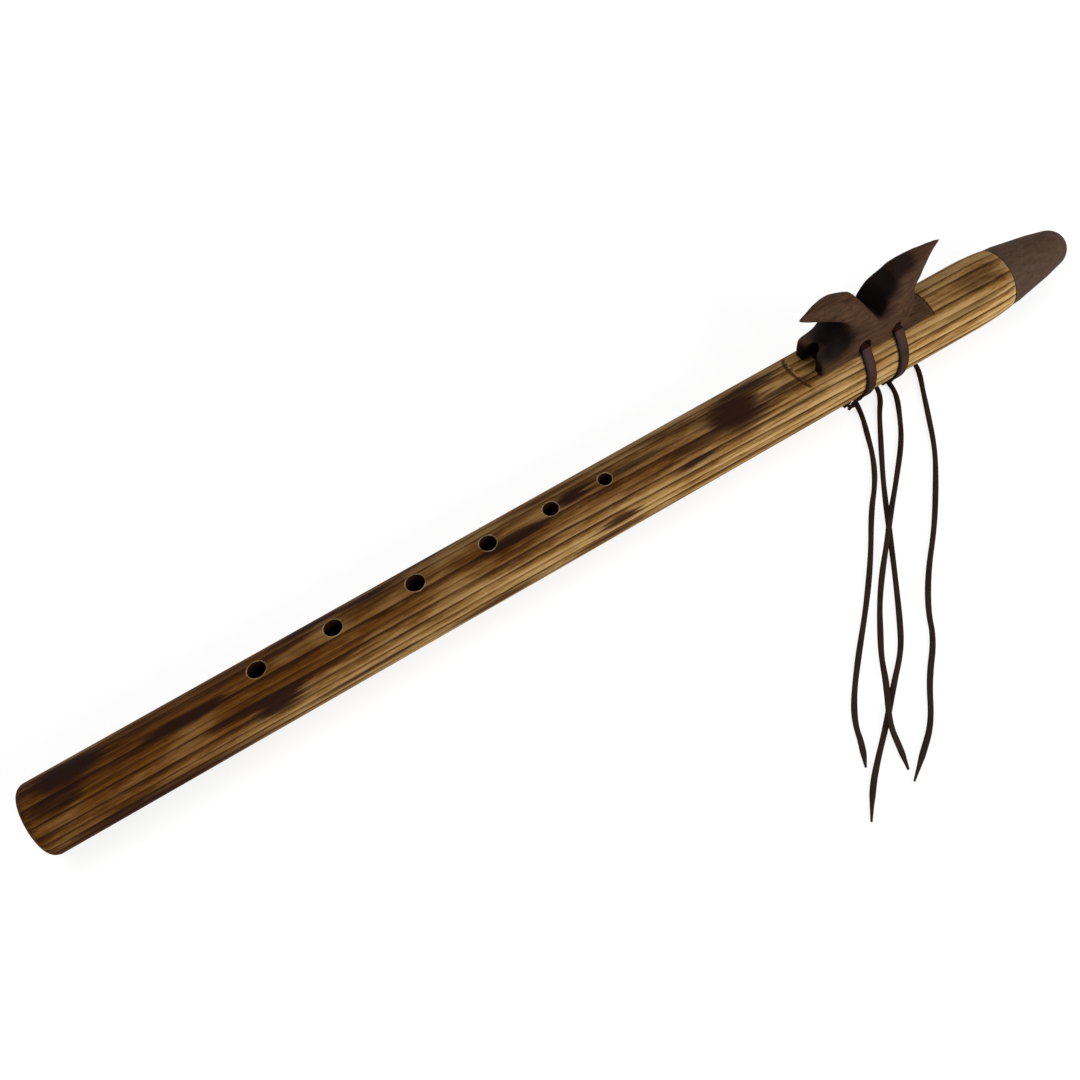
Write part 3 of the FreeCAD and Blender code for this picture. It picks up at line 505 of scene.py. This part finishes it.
def walnut(fittings):
    """Walnut, carved with a knife, oiled to a soft shine, and darkened in its hollows: partly scorch, partly
    painted shade.
    """
    material = plain_wood("carved_walnut", fittings.walnut, fittings.walnut_dark, (0.07, 0.8, 0.5), 0.6,
                          speckle=0.22)
    tree = material.node_tree
    shader = next(node for node in tree.nodes if node.type == "BSDF_PRINCIPLED")
    coordinates = add_node(tree, "TexCoord")
    hollows = [((behind + BLOCK_X, across, above + NEST_Z), half, depth)
               for (behind, across, above), half, depth in SCORCH_AND_SHADE_HOLLOWS]
    # Painted shade and scorch: the hollows turn near black
    scorch_and_shade = darkest_oval(tree, coordinates.outputs["Object"], hollows, 1 / MM, 0.6)
    before = shader.inputs["Base Color"].links[0].from_socket
    colour = add_node(tree, "Mix", {0: scorch_and_shade, 6: before, 7: (*shade("0E0806"), 1)}, data_type="RGBA")
    tree.links.new(colour.outputs[2], shader.inputs["Base Color"])
    return material


def leather(name, face, edge, left, right):
    """Latigo leather cut into lace: a waxed face, darker edges that are partly the raw cut edge and partly
    painted shade, and fine creases.
    """
    material, tree, shader = new_material(name)
    coordinates = add_node(tree, "TexCoord")
    across = add_node(tree, "SeparateXYZ", {"Vector": coordinates.outputs["UV"]})
    grain = add_node(tree, "TexNoise", {
        "Vector": coordinates.outputs["Object"], "Scale": 1400.0, "Detail": 5.0, "Roughness": 0.65,
    })
    wear = add_node(tree, "TexNoise", {
        "Vector": coordinates.outputs["Object"], "Scale": 130.0, "Detail": 3.0,
    })
    level = add_node(tree, "MapRange", {
        "Value": wear.outputs["Fac"], "From Min": 0.3, "From Max": 0.7, "To Min": 0.7, "To Max": 1.3,
    })
    worn = add_node(tree, "VectorMath", {0: face, "Scale": level.outputs[0]}, operation="SCALE")
    # Darker bands along both edges: raw cut edge and painted shade on the rounded sides
    rim = add_node(tree, "ValToRGB", {"Fac": across.outputs["X"]},
                   [(0.3 * left, 1.0), (left, 0.0), (1 - right, 0.0), (1.0, 1.0)])
    colour = add_node(tree, "Mix", {0: rim.outputs["Color"], 6: worn.outputs[0], 7: (*edge, 1)},
                      data_type="RGBA")
    tree.links.new(colour.outputs[2], shader.inputs["Base Color"])
    relief = add_node(tree, "Bump", {"Height": grain.outputs["Fac"], "Strength": 0.4, "Distance": 0.0002})
    tree.links.new(relief.outputs[0], shader.inputs["Normal"])
    rough = add_node(tree, "MapRange", {"Value": grain.outputs["Fac"], "To Min": 0.42, "To Max": 0.66})
    tree.links.new(rough.outputs[0], shader.inputs["Roughness"])
    shader.inputs["Specular IOR Level"].default_value = 0.1
    return material


def route(name, points):
    """Smooth curve through the air or along the table, as a list of its points."""
    curve = bpy.data.curves.new(name, "CURVE")
    curve.dimensions = "3D"
    spline = curve.splines.new("NURBS")
    spline.points.add(len(points) - 1)
    for point, place in zip(spline.points, points):
        point.co = (*(part * MM for part in place), 1)
    spline.order_u = 3
    spline.use_endpoint_u = True
    spline.resolution_u = 10
    holder = bpy.data.objects.new(name, curve)
    bpy.context.scene.collection.objects.link(holder)
    mesh = bpy.data.meshes.new_from_object(holder)
    line = [vertex.co.copy() for vertex in mesh.vertices]
    bpy.data.objects.remove(holder)
    bpy.data.curves.remove(curve)
    bpy.data.meshes.remove(mesh)
    return line


def flat_lace(name, line, width, thickness, roll=0.0, taper=0.0):
    """Flat strip of leather along a line, rounded at its edges and closed at both ends.

    It rolls to and fro by some radians, is up to a tenth narrower in places, and can taper
    over the last share of its length.
    """
    section = [(-1, 0), (-0.9, 0.72), (-0.45, 1), (0.45, 1), (0.9, 0.72),
               (1, 0), (0.9, -0.72), (0.45, -1), (-0.45, -1), (-0.9, -0.72)]
    corners, faces = [], []
    count = len(section)
    for number, place in enumerate(line):
        ahead = (line[min(number + 1, len(line) - 1)] - line[max(number - 1, 0)]).normalized()
        side = Vector((-ahead.y, ahead.x, 0)).normalized()
        up = ahead.cross(side)
        share = number / (len(line) - 1)
        turn = roll * math.sin(9 * share + 1.3)
        left = side * math.cos(turn) + up * math.sin(turn)
        top = up * math.cos(turn) - side * math.sin(turn)
        wide = width / 2 * (1 - 0.1 * math.sin(23 * share) ** 2)
        if taper and share > 1 - taper:
            wide *= 0.35 + 0.65 * (1 - share) / taper
        for across, rise in section:
            corners.append(place + left * (across * wide) + top * (rise * thickness / 2))
    for ring in range(len(line) - 1):
        for step in range(count):
            after = (step + 1) % count
            faces.append((ring * count + step, ring * count + after,
                          (ring + 1) * count + after, (ring + 1) * count + step))
    faces += [tuple(range(count))[::-1], tuple((len(line) - 1) * count + step for step in range(count))]
    mesh = bpy.data.meshes.new(name)
    mesh.from_pydata(corners, [], faces)
    layer = mesh.uv_layers.new(name="UVMap")
    for loop in mesh.loops:
        ring, step = divmod(loop.vertex_index, count)
        layer.data[loop.index].uv = (section[step][0] / 2 + 0.5, ring / len(line))
    mesh.update()
    piece = bpy.data.objects.new(name, mesh)
    bpy.context.scene.collection.objects.link(piece)
    take(piece)
    bpy.ops.object.mode_set(mode="EDIT")
    bpy.ops.mesh.select_all(action="SELECT")
    bpy.ops.mesh.normals_make_consistent(inside=False)
    bpy.ops.object.mode_set(mode="OBJECT")
    return piece


# Free tails in mm, from the knot to the cut end: the middle of a lace lies 0.65 mm above the
# table, and higher where it passes over another one
LOW = 0.65
OVER = 3.4
TAILS = {
    "front_tail_left": [
        (150.7, -12.0, 1.1), (148.9, -18.9, LOW), (143.2, -30.4, LOW), (136, -44.6, LOW),
        (126.6, -57.8, LOW), (115, -69.4, LOW), (98.5, -90, LOW), (80.5, -109.6, LOW),
        (62, -127.6, LOW), (47.6, -142.6, LOW), (39.6, -153.6, LOW), (36, -163.4, LOW),
        (31, -172, LOW),
    ],
    "front_tail_right": [
        (156.8, -8.4, 1.1), (157.2, -3.4, 0.8), (161.6, -0.6, LOW), (165.8, -3.6, LOW),
        (165.8, -10.4, LOW), (162.0, -17.6, LOW), (156.4, -23.6, LOW),
        (149, -33.6, LOW), (139, -47.2, LOW), (127.6, -63.2, LOW), (114.8, -83.2, LOW),
        (100.6, -105, LOW), (87.4, -124.6, LOW), (78.4, -136.6, LOW), (65, -148, LOW),
        (50, -161.6, LOW), (37, -172.2, LOW), (26.6, -181.6, LOW), (18, -192.2, LOW),
    ],
    "rear_tail_left": [
        (172.4, -9.0, 1.3), (172.0, -14.0, 0.8), (169.8, -20.5, LOW), (164.4, -29.2, LOW), (154, -44, LOW),
        (136.4, -61.6, LOW), (119.8, -77.4, OVER), (109.4, -88, OVER), (97.6, -99.4, LOW),
        (86, -112, LOW), (76.4, -124.6, LOW), (69, -134.6, LOW), (61.6, -147, OVER),
        (50.4, -163, OVER), (48.2, -173.2, LOW), (44.9, -182.4, LOW),
    ],
    "rear_tail_right": [
        (181.6, -7.0, 1.1), (182.2, -2.6, 0.8), (186.4, 0.0, LOW), (190.8, -3.0, LOW),
        (191.0, -9.8, LOW), (187.6, -17.2, LOW), (183.0, -24.6, LOW),
        (174.9, -38.3, LOW), (163, -58, LOW), (150.4, -73.6, LOW), (132.6, -93.9, LOW),
        (114.6, -111, LOW), (101, -127.2, LOW), (93.6, -140.2, LOW), (79, -154.4, LOW),
        (66.6, -171, LOW), (55.2, -179.6, LOW), (43.6, -187.8, LOW),
    ],
}

# Reef knot lying flat: one of its two bights, in mm about its middle; the other one is
# the same turned half round
BIGHT = [
    (-6.6, 1.5, 0.9), (-4.6, 1.3, 0.75), (-3.4, 0.9, 0.75), (-1.6, 1.0, 1.5), (0.4, 1.9, 2.1),
    (2.4, 2.5, 1.7), (4.2, 1.9, 1.6), (4.9, 0, 2.0), (4.2, -1.9, 1.6), (2.4, -2.5, 1.7),
    (0.4, -1.9, 2.1), (-1.6, -1.0, 1.5), (-3.4, -0.9, 0.75), (-4.6, -1.3, 0.75), (-6.6, -1.5, 0.9),
]
# Width and thickness of a knot's lace in metres, drawn tight, and the height in mm that its
# two bights share between them
KNOT_LACE = (0.0017, 0.0009)
KNOT_LOWERED = 0.25
KNOT_HEIGHT = 2.55
# Place of each knot on the table in mm and how far it is turned, in degrees
KNOTS = {"front_tie_knot": (151.2, -9.7, 18), "rear_tie_knot": (175.6, -8.4, 0)}


# Ties: lean in degrees and place of the part that crosses the block, which lies this far
# above the tube's axis, in mm
TIES = (("front", 7, 155.5), ("rear", 8, 175.5))
TIE_RISE = 17.27
TIE_WIDTH = 5.6
TIE_PATTERN = 40

# How far the far edge of the bird's tail and its far leg stand forward, in mm
TAIL_FORWARD = 3.6
LEG_FORWARD = 1.1


def carve_share(along, above):
    """How freely the block is rounded, at a place in mm behind its front and above its foot."""
    # Legs and foot stay crisp, and so do the thin front and the rear end
    floor = 6.0 if along < 17 else 11.0
    free = 0.06 + 0.94 * min(1.0, max(0.0, (above - floor) / 4))
    free *= min(1.0, max(0.12, (72 - along) / 9)) * min(1.0, max(0.15, (along + 4) / 6))
    if along > 58 and above < 20:
        free = 0.8
    return free * min(1.0, max(0.0, (above - 0.4) / 1.2))


class FLUTE_OT_tube(bpy.types.Operator):
    """Pine tube with its nest, flue and finger holes, as the CAD has it"""

    bl_idname = "flute.tube"
    bl_label = "Pine tube"

    def execute(self, context):
        tube = merged_copy("flute_body", "pine_tube")
        dress(tube, scorched_pine(context.scene.flute_wood), 28)
        settle(tube, "flute", "scorched_pine", "flute_body")
        return {"FINISHED"}


class FLUTE_OT_plug(bpy.types.Operator):
    """Wall between the two chambers"""

    bl_idname = "flute.plug"
    bl_label = "Chamber plug"

    def execute(self, context):
        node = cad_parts["chamber_plug"]
        wood = plain_wood("plug_pine", shade("8A6A3C"), shade("5E431F"), (0.04, 0.6, 0.6), 0.6)
        node.data.materials.clear()
        node.data.materials.append(wood)
        return {"FINISHED"}


class FLUTE_OT_mouthpiece(bpy.types.Operator):
    """Bullet of dark hardwood with its blow hole and tenon"""

    bl_idname = "flute.mouthpiece"
    bl_label = "Mouthpiece"

    def execute(self, context):
        fittings = context.scene.flute_fittings
        piece = merged_copy("mouthpiece", "mouth_bullet")
        dark = tuple(part * 0.55 for part in fittings.mouth)
        wood = plain_wood("dark_hardwood", fittings.mouth, dark, (0.12, 0.5, 0.5), 0.55, speckle=0.5)
        dress(piece, wood, 28)
        settle(piece, "flute", "dark_hardwood", "mouthpiece")
        return {"FINISHED"}


class FLUTE_OT_block(bpy.types.Operator):
    """Carved bird that roofs the flue"""

    bl_idname = "flute.block"
    bl_label = "Bird block"

    def execute(self, context):
        bird = merged_copy("bird_block", "carved_bird")
        modify(bird, "REMESH", mode="VOXEL", voxel_size=context.scene.flute_laces.voxel)
        carved = bird.vertex_groups.new(name="carved")
        # Positions are in mm from the front of the foot; far grows towards the far side
        for vertex in bird.data.vertices:
            along, above = vertex.co.x / MM - BLOCK_X, vertex.co.z / MM - NEST_Z
            far = min(1.0, max(0.0, (vertex.co.y / MM + 4) / 12))
            if 30 < along < 58 and above > 15:
                climb = max(0.0, 1 - abs(above - 20) / 14)
                vertex.co.x -= TAIL_FORWARD * MM * far * climb * min(1.0, max(0.0, (58 - along) / 12))
            if along < 6 and above < 16:
                vertex.co.x -= LEG_FORWARD * MM * far * (6 - along) / 6
            carved.add([vertex.index], carve_share(along, above), "REPLACE")
        modify(bird, "SMOOTH", factor=0.5, iterations=150, vertex_group="carved")
        modify(bird, "DISPLACE", mid_level=0.0, strength=0.0005, vertex_group="carved")
        marks = bpy.data.textures.new("knife_marks", "CLOUDS")
        marks.noise_scale = 0.006
        marks.noise_depth = 1
        modify(bird, "DISPLACE", texture=marks, texture_coords="LOCAL", mid_level=0.5,
               strength=0.0005, vertex_group="carved")
        dress(bird, walnut(context.scene.flute_fittings))
        settle(bird, "block", "walnut", "bird_block")
        return {"FINISHED"}


class FLUTE_OT_ties(bpy.types.Operator):
    """Two flat laces that hold the block on the tube"""

    bl_idname = "flute.ties"
    bl_label = "Ties"

    def execute(self, context):
        fittings = context.scene.flute_fittings
        # The wider dark band on the tie's edge towards the foot is painted shade
        hide = leather("tie_leather", fittings.lace, shade("150A07"), 0.34, 0.14)
        for end, lean, bar in TIES:
            tie = merged_copy(f"{end}_tie", f"{end}_lace_tie")
            modify(tie, "BEVEL", width=0.0003, segments=3, limit_method="ANGLE", angle_limit=math.radians(55))
            layer = tie.data.uv_layers[0] if tie.data.uv_layers else tie.data.uv_layers.new(name="UVMap")
            slope = math.tan(math.radians(lean))
            for loop in tie.data.loops:
                x, _, z = (part / MM for part in tie.data.vertices[loop.vertex_index].co)
                middle = bar + (z - AXIS_Z - TIE_RISE) * slope
                off = (x - middle) * math.cos(math.radians(lean))
                layer.data[loop.index].uv = (off / TIE_WIDTH + 0.5, z / TIE_PATTERN)
            dress(tie, hide, 40)
            settle(tie, "block", "lace_leather", f"{end}_tie")
        return {"FINISHED"}


class FLUTE_OT_knots(bpy.types.Operator):
    """Flat reef knots under the tube, one on each tie"""

    bl_idname = "flute.knots"
    bl_label = "Knots"

    def execute(self, context):
        hide = leather("knot_leather", context.scene.flute_fittings.lace, shade("1C0F0C"), 0.14, 0.14)
        for node, (along, across, turned) in KNOTS.items():
            yaw = math.radians(turned)
            bights = []
            for turn in (0, math.pi):
                points = []
                for x, y, z in BIGHT:
                    spun = x * math.cos(turn) - y * math.sin(turn), x * math.sin(turn) + y * math.cos(turn)
                    rise = z - KNOT_LOWERED if turn == 0 else KNOT_HEIGHT - z
                    points.append((
                        along + spun[0] * math.cos(yaw) - spun[1] * math.sin(yaw),
                        across + spun[0] * math.sin(yaw) + spun[1] * math.cos(yaw),
                        rise,
                    ))
                bights.append(flat_lace(f"{node}_bight{len(bights)}", route("bight", points), *KNOT_LACE))
            take(*bights)
            bpy.ops.object.join()
            knot = bights[0]
            knot.name = node.replace("tie_knot", "reef_knot")
            dress(knot, hide)
            settle(knot, "block", "lace_leather", node)
        return {"FINISHED"}


class FLUTE_OT_tails(bpy.types.Operator):
    """Free tails of the laces, lying loose on the table"""

    bl_idname = "flute.tails"
    bl_label = "Lace tails"

    def execute(self, context):
        sizes = context.scene.flute_laces
        hide = leather("tail_leather", context.scene.flute_fittings.tail, shade("180E08"), 0.2, 0.2)
        for node, points in TAILS.items():
            line = route(node, points)
            tail = flat_lace(node.replace("tail", "lace"), line, sizes.width, sizes.thickness, 0.12, 0.03)
            dress(tail, hide)
            settle(tail, "block", "lace_leather", node)
        return {"FINISHED"}


# Lamps: name, place in metres, power in watts and width in metres; then the camera's
# place in metres and its turn in degrees
LAMPS = (
    ("key", (0.7, -1.55, 0.65), 29, 1.0),
    ("top", (-0.4, 0.3, 1.7), 9, 1.4),
    ("back", (0.2, 1.5, 0.5), 5, 1.2),
)
EYE_PLACE = (-0.1259, -0.3183, 0.49175)
EYE_TURN = (34.03, 8.83, -29.78)


class FLUTE_OT_stage(bpy.types.Operator):
    """Pale table, soft lamps and the camera"""

    bl_idname = "flute.stage"
    bl_label = "Stage"

    def execute(self, context):
        bpy.ops.mesh.primitive_plane_add(size=12, location=(0, 0, 0))
        table = context.object
        table.name = "table"
        material, tree, shader = new_material("pale_paper")
        shader.inputs["Base Color"].default_value = (0.72, 0.72, 0.72, 1)
        shader.inputs["Roughness"].default_value = 0.9
        shader.inputs["Specular IOR Level"].default_value = 0.0
        # The eye sees bright paper with a faint shadow, the object sees plain paper
        seen = add_node(tree, "BsdfDiffuse", {"Color": (0.3, 0.3, 0.3, 1)})
        glow = add_node(tree, "Emission", {"Color": (1, 1, 1, 1), "Strength": 0.78})
        both = add_node(tree, "AddShader", {0: seen.outputs[0], 1: glow.outputs[0]})
        light = add_node(tree, "LightPath")
        mixed = add_node(tree, "MixShader", {
            0: light.outputs["Is Camera Ray"], 1: shader.outputs[0], 2: both.outputs[0],
        })
        output = next(node for node in tree.nodes if node.type == "OUTPUT_MATERIAL")
        tree.links.new(mixed.outputs[0], output.inputs["Surface"])
        table.data.materials.append(material)

        world = bpy.data.worlds.new("studio")
        context.scene.world = world
        world.use_nodes = True
        tree = world.node_tree
        tree.nodes.clear()
        light = add_node(tree, "LightPath")
        level = add_node(tree, "MapRange", {
            "Value": light.outputs["Is Camera Ray"], "To Min": 0.42, "To Max": 1.0,
        })
        sky = add_node(tree, "Background", {"Color": (1, 1, 1, 1), "Strength": level.outputs[0]})
        add_node(tree, "OutputWorld", {"Surface": sky.outputs[0]})

        for name, place, power, width in LAMPS:
            lamp = bpy.data.lights.new(name, "AREA")
            lamp.energy = power
            lamp.size = width
            holder = bpy.data.objects.new(name, lamp)
            holder.location = place
            holder.rotation_euler = (Vector((0, 0, 0)) - Vector(place)).to_track_quat("-Z", "Y").to_euler()
            context.scene.collection.objects.link(holder)

        lens = bpy.data.cameras.new("camera")
        lens.lens = 40
        lens.sensor_width = 36
        eye = bpy.data.objects.new("camera", lens)
        eye.location = EYE_PLACE
        eye.rotation_euler = tuple(math.radians(turn) for turn in EYE_TURN)
        context.scene.collection.objects.link(eye)
        context.scene.camera = eye
        context.scene.view_settings.view_transform = "Standard"
        return {"FINISHED"}


class FLUTE_PT_panel(bpy.types.Panel):
    """Pieces of the flute"""

    bl_label = "Duct flute"
    bl_space_type = "VIEW_3D"
    bl_region_type = "UI"
    bl_category = "Flute"

    def draw(self, context):
        for group in (context.scene.flute_wood, context.scene.flute_fittings, context.scene.flute_laces):
            for name in group.__annotations__:
                self.layout.prop(group, name)
        for piece in PIECES:
            self.layout.operator(piece.bl_idname)


GROUPS = {"flute_wood": FluteWood, "flute_fittings": FluteFittings, "flute_laces": FluteLaces}
PIECES = (FLUTE_OT_tube, FLUTE_OT_plug, FLUTE_OT_mouthpiece, FLUTE_OT_block, FLUTE_OT_ties,
          FLUTE_OT_knots, FLUTE_OT_tails, FLUTE_OT_stage)


def register():
    for item in (*GROUPS.values(), *PIECES, FLUTE_PT_panel):
        bpy.utils.register_class(item)
    for name, group in GROUPS.items():
        setattr(bpy.types.Scene, name, PointerProperty(type=group))


def unregister():
    for name in GROUPS:
        delattr(bpy.types.Scene, name)
    for item in (FLUTE_PT_panel, *reversed(PIECES), *GROUPS.values()):
        bpy.utils.unregister_class(item)


def main():
    register()
    for piece in PIECES:
        family, name = piece.bl_idname.split(".")
        getattr(getattr(bpy.ops, family), name)()


if __name__ == "__main__":
    main()
